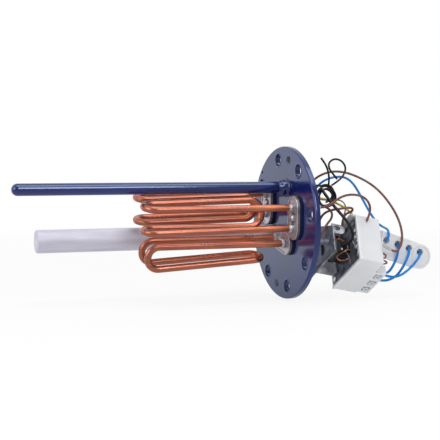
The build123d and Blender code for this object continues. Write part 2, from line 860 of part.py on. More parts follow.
pocket_floor = strip_low + strip_pocket_deep
with BuildPart() as strip_clamps:
    with BuildSketch(housing_side(strip_x, pocket_floor, strip_mid_z, -1)):
        with Locations(*strip_spots):
            Rectangle(strip_clamp, strip_clamp)
            Circle(strip_screw_d / 2 + leg_fit, mode=Mode.SUBTRACT)
    extrude(amount=strip_clamp_t)
strip_clamps.part.label = "strip_clamps"
export_step(strip_clamps.part, "parts/strip_clamps.step")

clamp_face = pocket_floor - strip_clamp_t
strip_screw_len = strip_high - strip_pocket_deep - strip_margin
with BuildPart() as strip_screws:
    with BuildSketch(housing_side(strip_x, clamp_face, strip_mid_z, -1)):
        with Locations(*strip_spots):
            Circle(strip_screw_head_d / 2)
    extrude(amount=strip_screw_head_t)
    head_face = clamp_face - strip_screw_head_t
    for turn in (0, 90):
        with BuildSketch(housing_side(strip_x, head_face, strip_mid_z, -1)):
            with Locations(*strip_spots):
                Rectangle(driver_slot_len, driver_slot_w, rotation=turn)
        extrude(amount=-driver_slot_deep, mode=Mode.SUBTRACT)
    with BuildSketch(housing_side(strip_x, clamp_face, strip_mid_z, -1)):
        with Locations(*strip_spots):
            Circle(strip_screw_d / 2)
    extrude(amount=-strip_screw_len)
strip_screws.part.label = "strip_screws"
export_step(strip_screws.part, "parts/strip_screws.step")

# Four-way connector block with a round outer end, cut to lie against the rear wall
slope = math.radians(block_slope)
rear_wall = housing_level(housing_depth)
block_front = Vector(0, block_y - block_deep, block_z)
to_wall = (rear_wall.origin - block_front).dot(rear_wall.z_dir)
block_x = to_wall / rear_wall.z_dir.X + block_gap
block_dir = (math.cos(slope), 0, -math.sin(slope))


def block_face(depth, along=0.0, up=0.0):
    """A plane on the connector block, facing the near side, depth measured inwards."""
    base = Plane(origin=(block_x, block_y - block_deep, block_z), x_dir=block_dir, z_dir=(0, -1, 0))
    origin = base.from_local_coords(Vector(along, up, -depth))
    return Plane(origin=origin, x_dir=base.x_dir, z_dir=base.z_dir)


block_entries = [(block_first + index * block_pitch, 0.0) for index in range(block_count)]
block_r = block_high / 2
with BuildPart() as connector_block:
    with BuildSketch(block_face(block_deep, (block_end - block_tail) / 2, -block_drop)):
        Rectangle(block_end + block_tail, block_high)
    extrude(amount=block_deep)
    with BuildSketch(block_face(block_deep, block_end, -block_drop)):
        Circle(block_r)
    extrude(amount=block_deep)
    fillet(connector_block.edges().group_by(Axis.Y)[0], radius=block_ring)
    split(bisect_by=rear_wall, keep=Keep.TOP)
    with BuildSketch(block_face(0, block_end, -block_drop)):
        Circle(block_r - 2 * block_ring)
        Circle(block_r - 3 * block_ring, mode=Mode.SUBTRACT)
    extrude(amount=-block_ring_step, mode=Mode.SUBTRACT)
    with BuildSketch(block_face(0)):
        with Locations(*block_entries):
            Circle(entry_d / 2)
    extrude(amount=-entry_deep, mode=Mode.SUBTRACT)
connector_block.part.label = "connector_block"
export_step(connector_block.part, "parts/connector_block.step")

with BuildPart() as block_clamps:
    with BuildSketch(block_face(entry_deep)):
        with Locations(*block_entries):
            Circle(block_clamp_d / 2)
            Circle(link_wire_d / 2 + leg_fit, mode=Mode.SUBTRACT)
    extrude(amount=block_clamp_len)
block_clamps.part.label = "block_clamps"
export_step(block_clamps.part, "parts/block_clamps.step")

# Earth screw and ring lug on the flange's dry face
with BuildPart() as earth_screw:
    with BuildSketch(flange_spot(earth_y, earth_z, flange_t + lug_t)):
        RegularPolygon(earth_af / 2, 6, major_radius=False)
    extrude(amount=earth_head)
    with BuildSketch(flange_spot(earth_y, earth_z, flange_t + lug_t)):
        Circle(earth_d / 2)
    extrude(amount=-lug_t - earth_bite)
earth_screw.part.label = "earth_screw"
export_step(earth_screw.part, "parts/earth_screw.step")

barrel_z = earth_z + earth_ring_d / 2 + barrel_len / 2
with BuildPart() as earth_lug:
    with BuildSketch(flange_spot(earth_y, earth_z, flange_t)):
        Circle(earth_ring_d / 2)
        with Locations((0, earth_ring_d / 2)):
            Rectangle(barrel_d, barrel_d)
        Circle(earth_d / 2 + leg_fit, mode=Mode.SUBTRACT)
    extrude(amount=lug_t)
    with Locations((flange_t + barrel_d / 2, earth_y, barrel_z)):
        Cylinder(barrel_d / 2, barrel_len)
earth_lug.part.label = "earth_lug"
export_step(earth_lug.part, "parts/earth_lug.step")

# Free wires: each route is a list of points chosen by hand, from where it is held
bulb_end = bulb_start + bulb_len
sleeve_end = sleeve_start + sleeve_len
brown_lead_long = [
    (29.0, 36.0, 33.2),
    (36.5, 36.0, 33.2),
    (43.5, 32.0, 38.0),
    (49.5, 26.0, 47.0),
    (59.0, 19.5, 56.0),
    (73.0, 14.0, 60.6),
    (88.5, 8.5, 59.0),
    (103.0, 2.5, 53.0),
    (115.4, -5.0, 44.9),
    (125.3, -12.0, 34.6),
    (133.2, -19.0, 21.8),
    (138.5, -26.5, 8.4),
    (140.3, -34.0, -5.1),
    (138.4, -41.0, -17.0),
    (134.4, -45.4, -26.4),
    (129.2, -47.1, -33.0),
    (124.4, -47.7, -34.8),
    (119.0, -48.0, -32.0),
]
blue_lead = [
    (29.0, 36.0, 9.7),
    (36.0, 36.0, 9.7),
    (42.0, 31.5, 15.5),
    (46.0, 24.5, 26.0),
    (49.0, 16.0, 37.5),
    (54.5, 9.5, 46.5),
    (63.5, 7.0, 51.7),
    (75.6, 5.0, 54.2),
    (86.0, 3.0, 52.6),
    (94.5, 1.0, 45.5),
    (102.6, -1.0, 32.1),
    (110.0, -3.0, 18.4),
    (116.6, -5.0, 6.6),
    (121.8, -9.0, -2.3),
    (124.0, -16.5, -6.0),
    (123.6, -25.5, -7.6),
    (121.5, -34.5, -8.4),
    (119.6, -41.6, -12.2),
    (118.6, -42.8, -18.3),
    (118.3, -37.5, -21.8),
]
brown_lead_short = [
    (29.0, -40.4, 19.2),
    (36.0, -40.4, 19.2),
    (44.0, -38.9, 22.6),
    (53.0, -36.0, 27.6),
    (63.0, -33.0, 31.8),
    (75.0, -30.0, 33.4),
    (88.5, -27.0, 32.0),
    (99.4, -24.0, 27.0),
    (105.4, -21.9, 18.4),
    (104.7, -21.9, 9.9),
    (99.6, -24.0, 1.1),
]
earth_lead = [
    (8.3, 15.0, 37.3),
    (8.3, 15.0, 41.5),
    (12.0, 14.9, 46.2),
    (20.5, 14.3, 47.6),
    (29.5, 13.2, 43.5),
    (40.0, 11.5, 34.8),
    (51.0, 10.0, 28.2),
    (60.7, 7.0, 26.3),
    (68.9, 2.0, 23.4),
    (75.6, -5.3, 18.9),
    (81.3, -10.3, 14.0),
    (86.2, -12.5, 9.2),
]
brown_hook_lead = [
    (29.0, 3.4, -17.7),
    (36.0, 3.4, -17.7),
    (42.0, 2.0, -13.5),
    (45.4, -1.0, -5.5),
    (46.9, -4.2, 3.0),
    (50.7, -7.6, 10.6),
    (58.5, -11.2, 14.4),
    (67.7, -15.8, 15.9),
    (76.8, -19.2, 17.4),
    (83.2, -19.4, 14.6),
    (81.4, -15.7, 12.7),
    (76.6, -12.0, 8.9),
    (74.0, -10.8, 1.0),
    (74.4, -9.5, -7.5),
    (76.4, -4.8, -13.7),
    (78.1, 0.5, -18.8),
    (77.4, 6.8, -23.2),
]
brown_drop_lead = [
    (29.0, -19.4, -23.1),
    (35.5, -19.4, -23.1),
    (41.0, -18.2, -17.0),
    (46.0, -15.5, -9.2),
    (53.5, -11.5, -1.5),
    (61.5, -7.0, 4.2),
    (65.6, 0.0, 10.5),
    (64.0, 7.5, 16.0),
    (57.0, 14.5, 18.7),
    (49.5, 20.0, 19.0),
]
black_lead_in = [
    (bulb_end, well_y - bulb_pitch / 2, well_z),
    (16.0, well_y - bulb_pitch / 2, well_z),
    (26.0, -12.2, 43.5),
    (36.0, -11.0, 44.4),
    (42.9, -10.0, 41.6),
]
black_cable = [
    (43.2, -14.6, 40.2),
    (47.8, -18.6, 32.1),
    (52.2, -23.0, 23.9),
    (58.1, -27.0, 15.7),
    (64.9, -30.5, 6.9),
    (71.6, -33.4, -2.5),
    (75.6, -35.0, -12.0),
    (75.8, -32.6, -20.5),
    (72.4, -25.5, -24.9),
    (71.6, -18.3, -29.95),
]
black_lead_up = [
    (54.8, -11.5, 45.1),
    (54.4, -13.2, 50.1),
    (52.6, -16.0, 56.8),
    (49.2, -18.0, 65.1),
    (44.7, -19.0, 71.6),
    (40.7, -19.2, 76.2),
]
black_lead_loop = [
    (58.8, -11.6, 43.9),
    (67.0, -10.0, 48.0),
    (76.0, -8.0, 54.8),
    (80.4, -7.0, 64.4),
    (74.3, -8.0, 73.0),
    (63.2, -9.5, 75.8),
    (54.9, -11.0, 71.0),
    (54.6, -12.3, 64.3),
    (58.3, -13.5, 58.5),
    (64.5, -14.2, 51.4),
]
grey_capillary = [
    (bulb_end, well_y + bulb_pitch / 2, well_z),
    (16.0, well_y + bulb_pitch / 2, well_z),
    (26.0, -6.6, 39.0),
    (36.0, -6.0, 31.5),
    (46.0, -5.4, 26.6),
    (57.8, -4.6, 26.2),
    (69.0, -3.6, 26.5),
    (77.8, -3.2, 24.5),
    (82.2, -3.1, 18.8),
    (81.4, -3.1, 10.9),
    (77.9, -3.0, 2.5),
    (76.7, -2.7, -6.5),
    (78.1, -0.8, -13.0),
    (80.2, 3.5, -16.7),
    (79.7, 8.9, -20.5),
]
blue_link_1 = [
    (133.8, -32.2, -26.8),
    (133.7, -39.6, -28.0),
    (132.0, -42.6, -34.0),
    (130.4, -41.8, -43.0),
    (128.2, -38.0, -51.6),
    (126.8, -33.2, -58.2),
    (124.2, -28.7, -62.4),
    (116.8, -28.3, -61.3),
]
blue_link_2 = [
    (149.2, -32.2, -31.9),
    (149.2, -39.5, -32.9),
    (146.2, -42.8, -39.0),
    (141.5, -43.4, -48.5),
    (138.0, -38.6, -58.5),
    (135.6, -31.0, -66.5),
    (130.6, -21.5, -71.8),
    (123.6, -15.3, -72.4),
    (115.5, -14.9, -70.8),
]
blue_link_3 = [
    (164.7, -32.2, -37.1),
    (164.7, -39.5, -38.2),
    (159.5, -43.6, -43.5),
    (151.5, -45.6, -51.0),
    (142.0, -46.0, -58.5),
    (134.6, -43.0, -64.0),
    (128.8, -35.4, -66.4),
    (123.6, -26.7, -64.9),
    (116.7, -25.4, -63.0),
]
wires = {
    "brown_lead_long": (wire_d, brown_lead_long),
    "blue_lead": (wire_d, blue_lead),
    "brown_lead_short": (wire_d, brown_lead_short),
    "earth_lead": (wire_d, earth_lead),
    "brown_hook_lead": (wire_d, brown_hook_lead),
    "brown_drop_lead": (wire_d, brown_drop_lead),
    "black_lead_in": (black_d, black_lead_in),
    "black_cable": (cable_d, black_cable),
    "black_lead_up": (black_d, black_lead_up),
    "black_lead_loop": (black_d, black_lead_loop),
    "grey_capillary": (capillary_d, grey_capillary),
    "blue_link_1": (link_wire_d, blue_link_1),
    "blue_link_2": (link_wire_d, blue_link_2),
    "blue_link_3": (link_wire_d, blue_link_3),
}
for name, (diameter, route) in wires.items():
    radii = corner_radii(route)
    print(f"{name}: radii", [round(radius, 1) for radius in radii])
    wire = tube_along(route, diameter, radii)
    wire.part.label = name
    export_step(wire.part, f"parts/{name}.step")

# The turns of black lead at the thermowell's mouth, as one closed ring
with BuildPart() as black_coil:
    with BuildSketch(Plane(origin=coil_centre, x_dir=(1, 0, 0), z_dir=(0, 0, 1))):
        with Locations((coil_r, 0)):
            Circle(coil_band)
    revolve(axis=Axis(coil_centre, (0, 1, 0)))
black_coil.part.label = "black_coil"
export_step(black_coil.part, "parts/black_coil.step")

# Crimped sleeve on the free end of the long brown lead
last_run = Vector(*brown_lead_long[-1]) - Vector(*brown_lead_long[-2])
sleeve_dir = last_run.normalized()
with BuildPart() as lead_end_sleeve:
    with BuildSketch(Plane(origin=brown_lead_long[-1], z_dir=sleeve_dir)):
        Circle(end_sleeve_d / 2)
    extrude(amount=end_sleeve_len)
    chamfer(lead_end_sleeve.edges().filter_by(GeomType.CIRCLE), length=end_sleeve_chamfer)
lead_end_sleeve.part.label = "lead_end_sleeve"
export_step(lead_end_sleeve.part, "parts/lead_end_sleeve.step")
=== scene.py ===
import json
import math

import bmesh
import bpy
from mathutils import Euler, Matrix, Vector


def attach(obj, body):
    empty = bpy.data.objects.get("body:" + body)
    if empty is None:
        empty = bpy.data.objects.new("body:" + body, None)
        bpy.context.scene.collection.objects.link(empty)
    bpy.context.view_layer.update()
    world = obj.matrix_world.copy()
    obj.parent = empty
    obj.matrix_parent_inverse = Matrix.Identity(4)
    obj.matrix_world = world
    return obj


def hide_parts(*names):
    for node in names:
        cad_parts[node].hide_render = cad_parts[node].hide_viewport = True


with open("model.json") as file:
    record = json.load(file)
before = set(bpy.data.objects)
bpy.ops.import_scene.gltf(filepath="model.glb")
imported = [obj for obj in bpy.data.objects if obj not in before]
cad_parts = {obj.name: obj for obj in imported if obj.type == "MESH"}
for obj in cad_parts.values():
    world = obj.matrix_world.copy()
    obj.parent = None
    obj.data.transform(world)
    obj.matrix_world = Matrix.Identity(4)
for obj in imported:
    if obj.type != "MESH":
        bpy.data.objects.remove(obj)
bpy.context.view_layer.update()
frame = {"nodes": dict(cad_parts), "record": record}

# Sizes are in millimetres where no comment says metres: +X is the part's dry side, +Z is up
MM = 0.001


def metres(point):
    """A point given in millimetres, as a vector in metres."""
    return Vector(point) * MM


# Camera: its place in millimetres, its turns in degrees and how far it sees in metres
CAMERA_SPOT = (-492.7, -1094.4, 70.9)
CAMERA_TILT = 86.758
CAMERA_TURN = -20.708
CAMERA_LENS = 83.0
SENSOR_WIDTH = 36.0
CAMERA_REACH = 20.0

# Lamps that point at the origin: place, width and height in metres, and power in watts
LAMPS = {
    "key": ((0.1, -1.3, 0.75), 0.55, 0.6, 6.8),
    "top": ((0.0, -0.45, 1.4), 1.4, 0.8, 9.0),
    "side": ((-1.4, -0.4, 0.5), 0.8, 0.8, 5.0),
}

# Studio: each glow or share goes from its first number to its second over a span
# The world's span is of the Y of a direction, the floor's of Y and of the distance in metres
WORLD_SPAN, WORLD_GLOW = (-0.45, 0.55), (0.24, 1.0)
FLOOR_SPAN, FLOOR_GLOW = (-0.3, 0.5), (0.45, 1.0)
FADE_SPAN, FADE_SHARE = (0.4, 1.5), (0.86, 1.0)
LEAST_SHARE = 0.5
FLOOR_Z = -91.0 * MM
FLOOR_HALF = 4.0
WORLD_GREY = (0.8, 0.8, 0.8, 1)
PAINT_GREY = (0.9, 0.9, 0.9, 1)
BLACK = (0, 0, 0, 1)
WHITE = (1, 1, 1, 1)


def add_camera():
    """The camera at the photograph's angle, with the photograph's field of view."""
    data = bpy.data.cameras.new("view")
    data.lens = CAMERA_LENS
    data.sensor_width = SENSOR_WIDTH
    data.clip_end = CAMERA_REACH
    camera = bpy.data.objects.new("view", data)
    camera.location = metres(CAMERA_SPOT)
    camera.rotation_euler = Euler((math.radians(CAMERA_TILT), 0, math.radians(CAMERA_TURN)))
    bpy.context.scene.collection.objects.link(camera)
    bpy.context.scene.camera = camera


def add_lamp(name, spot, width, height, power):
    """A soft box of light that points at the origin."""
    data = bpy.data.lights.new(name, "AREA")
    data.shape = "RECTANGLE"
    data.size = width
    data.size_y = height
    data.energy = power
    lamp = bpy.data.objects.new(name, data)
    lamp.location = Vector(spot)
    aim = Vector((0, 0, 0)) - Vector(spot)
    lamp.rotation_euler = aim.to_track_quat("-Z", "Y").to_euler()
    bpy.context.scene.collection.objects.link(lamp)


def add_node(tree, kind, inputs, **settings):
    """A node with its settings, whose inputs are plain values or the outputs of other nodes."""
    node = tree.nodes.new(kind)
    for name, value in settings.items():
        setattr(node, name, value)
    for socket, value in inputs.items():
        if isinstance(value, bpy.types.NodeSocket):
            tree.links.new(value, node.inputs[socket])
        else:
            node.inputs[socket].default_value = value
    return node


def combined(tree, operation, one, other):
    """A value of a node and a number or another node's value, put together by a Math node."""
    return add_node(tree, "ShaderNodeMath", {0: one, 1: other}, operation=operation).outputs[0]


def mapped(tree, value, span, result):
    """A value mapped from a span to a result and held at both ends of it."""
    inputs = {
        "Value": value,
        "From Min": span[0],
        "From Max": span[1],
        "To Min": result[0],
        "To Max": result[1],
    }
    return add_node(tree, "ShaderNodeMapRange", inputs).outputs["Result"]


def axis_of(tree, vector, axis):
    """One axis of a vector."""
    return add_node(tree, "ShaderNodeSeparateXYZ", {0: vector}).outputs[axis]


def seen_by(tree, *rays):
    """1 for a ray of one of the kinds named, and 0 for any other."""
    path = tree.nodes.new("ShaderNodeLightPath")
    share = path.outputs[rays[0]]
    for ray in rays[1:]:
        share = combined(tree, "MAXIMUM", share, path.outputs[ray])
    return share


def show_mix(tree, output, share, under, over):
    """Leads two shaders, mixed by the share of the upper one, to the output."""
    mix = add_node(
        tree, "ShaderNodeMixShader", {"Fac": share, 1: under.outputs[0], 2: over.outputs[0]}
    )
    add_node(tree, output, {"Surface": mix.outputs[0]})


def add_world():
    """A studio that is white to the camera and through glass. Where it lights the part or is
    mirrored in it, it is dimmer in front of the part than behind it."""
    world = bpy.data.worlds.new("studio")
    world.use_nodes = True
    bpy.context.scene.world = world
    tree = world.node_tree
    tree.nodes.clear()
    heading = tree.nodes.new("ShaderNodeTexCoord").outputs["Generated"]
    strength = mapped(tree, axis_of(tree, heading, "Y"), WORLD_SPAN, WORLD_GLOW)
    around = add_node(tree, "ShaderNodeBackground", {"Color": WORLD_GREY, "Strength": strength})
    backdrop = add_node(tree, "ShaderNodeBackground", {"Color": WHITE, "Strength": 1.0})
    mirrored = combined(tree, "MULTIPLY", seen_by(tree, "Is Glossy Ray"), strength)
    direct = seen_by(tree, "Is Camera Ray", "Is Transmission Ray")
    share = combined(tree, "MAXIMUM", mirrored, direct)
    show_mix(tree, "ShaderNodeOutputWorld", share, around, backdrop)


def add_floor():
    """A wide pale floor, nearly white to the camera and in metal, which still holds the part's
    shadow, and which lights the part from below."""
    mesh = bpy.data.meshes.new("floor")
    half = FLOOR_HALF
    corners = [(-half, -half), (half, -half), (half, half), (-half, half)]
    mesh.from_pydata([(x, y, FLOOR_Z) for x, y in corners], [], [(0, 1, 2, 3)])
    material = bpy.data.materials.new("floor_white")
    material.use_nodes = True
    tree = material.node_tree
    tree.nodes.clear()
    place = tree.nodes.new("ShaderNodeNewGeometry").outputs["Position"]
    behind = mapped(tree, axis_of(tree, place, "Y"), FLOOR_SPAN, FLOOR_GLOW)
    full = seen_by(tree, "Is Camera Ray", "Is Transmission Ray", "Is Diffuse Ray")
    strength = combined(tree, "MAXIMUM", full, behind)
    distance = add_node(tree, "ShaderNodeVectorMath", {0: place}, operation="LENGTH")
    fade = mapped(tree, distance.outputs["Value"], FADE_SPAN, FADE_SHARE)
    seen = seen_by(tree, "Is Camera Ray", "Is Glossy Ray", "Is Transmission Ray")
    share = combined(tree, "MAXIMUM", combined(tree, "MULTIPLY", seen, fade), LEAST_SHARE)
    paint = add_node(tree, "ShaderNodeBsdfDiffuse", {"Color": PAINT_GREY})
    glow = add_node(tree, "ShaderNodeEmission", {"Color": WHITE, "Strength": strength})
    show_mix(tree, "ShaderNodeOutputMaterial", share, paint, glow)
    mesh.materials.append(material)
    floor = bpy.data.objects.new("floor", mesh)
    bpy.context.scene.collection.objects.link(floor)


bpy.context.scene.view_settings.view_transform = "Standard"
add_camera()
add_world()
add_floor()
for name, (spot, width, height, power) in LAMPS.items():
    add_lamp(name, spot, width, height, power)


# Materials: each is a Principled shader with its own procedural colour, roughness and bump
def colour(red, green, blue):
    """A screen colour from 0 to 255 as the linear values that a shader takes."""
    parts = []
    for value in (red, green, blue):
        share = value / 255
        parts.append(share / 12.92 if share <= 0.04045 else ((share + 0.055) / 1.055) ** 2.4)
    return (*parts, 1.0)


class Surface:
    """A node material under construction, with short calls for the nodes it needs."""

    def __init__(self, name, **settings):
        self.material = bpy.data.materials.new(name)
        self.material.use_nodes = True
        self.tree = self.material.node_tree
        self.shader = self.tree.nodes["Principled BSDF"]
        for socket, value in settings.items():
            self.shader.inputs[socket.replace("_", " ")].default_value = value
        coords = self.tree.nodes.new("ShaderNodeTexCoord")
        self.place = coords.outputs["Object"]
        self.along = coords.outputs["UV"]

    def stretched(self, scale):
        """Object coordinates with each axis scaled by itself."""
        inputs = {"Vector": self.place, "Scale": scale}
        return add_node(self.tree, "ShaderNodeMapping", inputs).outputs["Vector"]

    def noise(self, scale, detail=4.0, rough=0.55, place=None):
        """Cloudy noise, mostly between 0.3 and 0.7."""
        inputs = {
            "Vector": place or self.place,
            "Scale": scale,
            "Detail": detail,
            "Roughness": rough,
        }
        return add_node(self.tree, "ShaderNodeTexNoise", inputs).outputs["Fac"]

    def cells(self, scale, place):
        """Cells with a value of their own each, from 0 to 1."""
        inputs = {"Vector": place, "Scale": scale}
        shade = add_node(self.tree, "ShaderNodeTexVoronoi", inputs).outputs["Color"]
        return add_node(self.tree, "ShaderNodeSeparateColor", {0: shade}).outputs[0]

    def ramp(self, value, *stops):
        """Colours along a value: each stop is a place from 0 to 1 and a colour."""
        node = add_node(self.tree, "ShaderNodeValToRGB", {"Fac": value})
        band = node.color_ramp
        band.elements[0].position, band.elements[0].color = stops[0]
        band.elements[1].position, band.elements[1].color = stops[-1]
        for place, shade in stops[1:-1]:
            band.elements.new(place).color = shade
        return node.outputs["Color"]

    def tones(self, value, low, high, start=0.3, end=0.7):
        """Screen colours from low to high while a value goes from start to end."""
        return self.ramp(value, (start, colour(*low)), (end, colour(*high)))

    def spread(self, value, low, high, start=0.3, end=0.7):
        """Numbers from low to high while a value goes from start to end."""
        return mapped(self.tree, value, (start, end), (low, high))

    def mix(self, share, one, other):
        """Two colours, mixed by the share of the other one."""
        inputs = {"Factor": share, "A": one, "B": other}
        return add_node(self.tree, "ShaderNodeMix", inputs, data_type="RGBA").outputs["Result"]

    def set(self, socket, value):
        """Leads a value to the shader."""
        self.tree.links.new(value, self.shader.inputs[socket])

    def bump(self, value, depth, strength):
        """Height from a value, as deep as depth in metres."""
        inputs = {"Height": value, "Distance": depth, "Strength": strength}
        self.set("Normal", add_node(self.tree, "ShaderNodeBump", inputs).outputs["Normal"])


def enamel():
    """Fired blue enamel: deep navy glass with a slight orange peel and a few specks."""
    s = Surface("enamel", Roughness=0.16, IOR=1.95, Specular_Tint=(0.62, 0.74, 1.0, 1.0))
    cloud = s.noise(28)
    deep = s.tones(cloud, (1, 14, 80), (4, 22, 98))
    pale = s.tones(cloud, (40, 46, 74), (50, 56, 82), 0.0, 1.0)
    speck = s.ramp(s.noise(900, detail=1.0), (0.70, BLACK), (0.76, WHITE))
    s.set("Base Color", s.mix(speck, deep, pale))
    s.bump(s.noise(160, detail=2.0), depth=0.00012, strength=0.5)
    return s.material


def copper():
    """Drawn copper tube: warm pink with faint draw lines along it and darker tarnish patches,
    and more orange on the last stretch before the flange."""
    s = Surface("copper", Metallic=1.0)
    lines = s.noise(60, detail=5.0, rough=0.6, place=s.stretched((0.25, 6, 6)))
    patch = s.noise(42, detail=3.0, rough=0.5)
    bright = s.ramp(
        lines,
        (0.25, colour(160, 96, 79)),
        (0.5, colour(181, 113, 94)),
        (0.75, colour(200, 134, 114)),
    )
    tarnish = s.tones(lines, (158, 90, 68), (196, 118, 90), 0.2, 0.8)
    drawn = s.mix(s.spread(patch, 0.0, 0.6, 0.45, 0.75), bright, tarnish)
    heated = s.tones(s.noise(34, detail=3.0), (222, 128, 88), (244, 156, 116))
    near_flange = s.spread(axis_of(s.tree, s.place, "X"), 0.0, 0.8, -75 * MM, -12 * MM)
    s.set("Base Color", s.mix(near_flange, drawn, heated))
    s.set("Roughness", s.spread(patch, 0.25, 0.38))
    s.bump(s.noise(420, detail=3.0), depth=0.00005, strength=0.4)
    return s.material


def magnesium():
    """Cast and turned magnesium: matt lavender grey with lengthwise streaks and a fine grain."""
    s = Surface("magnesium", Metallic=0.35)
    streaks = s.noise(30, detail=5.0, rough=0.6, place=s.stretched((0.3, 3, 3)))
    s.set("Base Color", s.tones(streaks, (190, 188, 202), (222, 220, 234), 0.25, 0.75))
    s.set("Roughness", s.spread(s.noise(70), 0.48, 0.66))
    s.bump(s.noise(300), depth=0.00012, strength=0.35)
    return s.material


def plated(name, low, high, rough):
    """A smooth bright metal with faint clouds and a fine grain."""
    s = Surface(name, Metallic=1.0)
    cloud = s.noise(180, detail=3.0)
    s.set("Base Color", s.tones(cloud, low, high))
    s.set("Roughness", s.spread(cloud, rough, rough + 0.14))
    s.bump(s.noise(1080, detail=2.0), depth=0.00004, strength=0.4)
    return s.material


def zinc_sheet(name, low, high):
    """Galvanised sheet: dull grey with flat crystals of differing shade and dirtier clouds."""
    s = Surface(name, Metallic=0.4)
    flake = s.cells(260, s.stretched((1, 1, 0.6)))
    plain = s.tones(flake, low, high, 0.0, 1.0)
    dirty = s.tones(flake, [0.7 * v for v in low], [0.85 * v for v in high], 0.0, 1.0)
    s.set("Base Color", s.mix(s.spread(s.noise(45), 0.0, 1.0, 0.4, 0.65), plain, dirty))
    s.set("Roughness", s.spread(flake, 0.34, 0.56, 0.0, 1.0))
    s.bump(s.noise(700, detail=2.0), depth=0.00004, strength=0.5)
    return s.material


def moulded(name, low, high, rough, grain=1400, depth=0.00003):
    """Moulded plastic: an even colour with slight flow marks and a fine sparked grain."""
    s = Surface(name)
    s.set("Base Color", s.tones(s.noise(24, detail=3.0), low, high))
    s.set("Roughness", s.spread(s.noise(60), rough, rough + 0.14))
    s.bump(s.noise(grain, detail=2.0), depth=depth, strength=0.5)
    return s.material


def sleeving(name, low, high, rough=0.38):
    """Flexible sleeving: a soft colour that varies a little along the wire."""
    s = Surface(name, Specular_IOR_Level=0.45)
    s.set("Base Color", s.tones(s.noise(90, detail=3.0), low, high))
    s.set("Roughness", s.spread(s.noise(220), rough, rough + 0.16))
    s.bump(s.noise(900, detail=2.0), depth=0.00004, strength=0.5)
    return s.material


def earth_sleeving():
    """Yellow sleeving with a green stripe along it, laid by the curve's own coordinates."""
    s = Surface("earth_sleeving", Roughness=0.4)
    cloud = s.noise(120)
    yellow = s.tones(cloud, (196, 184, 18), (222, 210, 40))
    green = s.tones(cloud, (58, 104, 20), (74, 124, 30))
    around = axis_of(s.tree, s.along, "Y")
    band = s.ramp(around, (0.30, BLACK), (0.32, WHITE), (0.62, WHITE), (0.64, BLACK))
    s.set("Base Color", s.mix(band, yellow, green))
    s.bump(s.noise(900, detail=2.0), depth=0.00003, strength=0.5)
    return s.material


materials = {
    "enamel": enamel(),
    "copper": copper(),
    "magnesium": magnesium(),
    "nickel": plated("nickel", (170, 166, 172), (206, 202, 208), rough=0.3),
    "zinc": plated("zinc", (178, 180, 188), (222, 224, 230), rough=0.26),
    "galvanised_sheet": zinc_sheet("galvanised_sheet", (104, 110, 126), (172, 178, 194)),
    # A lighter copy of the galvanised sheet: painted light on the bracket's folds and lug
    "lit_sheet": zinc_sheet("lit_sheet", (176, 178, 186), (212, 214, 220)),
    # A darker copy of the galvanised sheet: painted shade on the mounting plate inside the housing
    "shaded_plate": zinc_sheet("shaded_plate", (92, 98, 112), (142, 148, 162)),
    "gasket_rubber": moulded(
        "gasket_rubber", (12, 12, 16), (26, 26, 32), rough=0.5, grain=600, depth=0.00006
    ),
    "insulator": moulded("insulator", (196, 190, 178), (220, 214, 202), rough=0.5),
    "white_plastic": moulded("white_plastic", (224, 225, 228), (233, 234, 237), rough=0.42),
    "black_plastic": moulded("black_plastic", (22, 22, 27), (38, 38, 46), rough=0.34),
    # A lighter copy of the white plastic: painted highlight on the housing's mouth
    "highlight_plastic": moulded("highlight_plastic", (240, 241, 243), (248, 248, 250), rough=0.36),
    # A lighter copy of zinc for small plated screws, clamps and heads: painted highlights
    "lit_zinc": plated("lit_zinc", (228, 234, 242), (246, 250, 255), rough=0.42),
    "bare_copper": plated("bare_copper", (176, 110, 88), (222, 156, 130), rough=0.24),
    "clear_sleeve": moulded("clear_sleeve", (168, 168, 172), (196, 196, 200), rough=0.3),
    "brown_wire": sleeving("brown_wire", (98, 58, 54), (134, 86, 78)),
    "blue_wire": sleeving("blue_wire", (0, 108, 192), (2, 142, 224)),
    "earth_wire": earth_sleeving(),
    "black_wire": sleeving("black_wire", (8, 8, 12), (24, 24, 30), rough=0.28),
    "grey_wire": plated("grey_wire", (136, 134, 138), (176, 174, 178), rough=0.36),
}

# Nodes that look different from the record's material for them
LOOKS = {
    # The mounting plate in the darker copy of the sheet, which is painted shade
    "mounting_plate": "shaded_plate",
    "thermostat_loop": "bare_copper",
    "thermostat_hook": "bare_copper",
    # The strip's screws and clamps in the lighter zinc, which is painted highlight
    "strip_screws": "lit_zinc",
    "strip_clamps": "lit_zinc",
}

for row in frame["record"]["subparts"]:
    dressed = frame["nodes"][row["node"]].data.materials
    dressed.clear()
    dressed.append(materials[LOOKS.get(row["node"], row["material_slot"])])


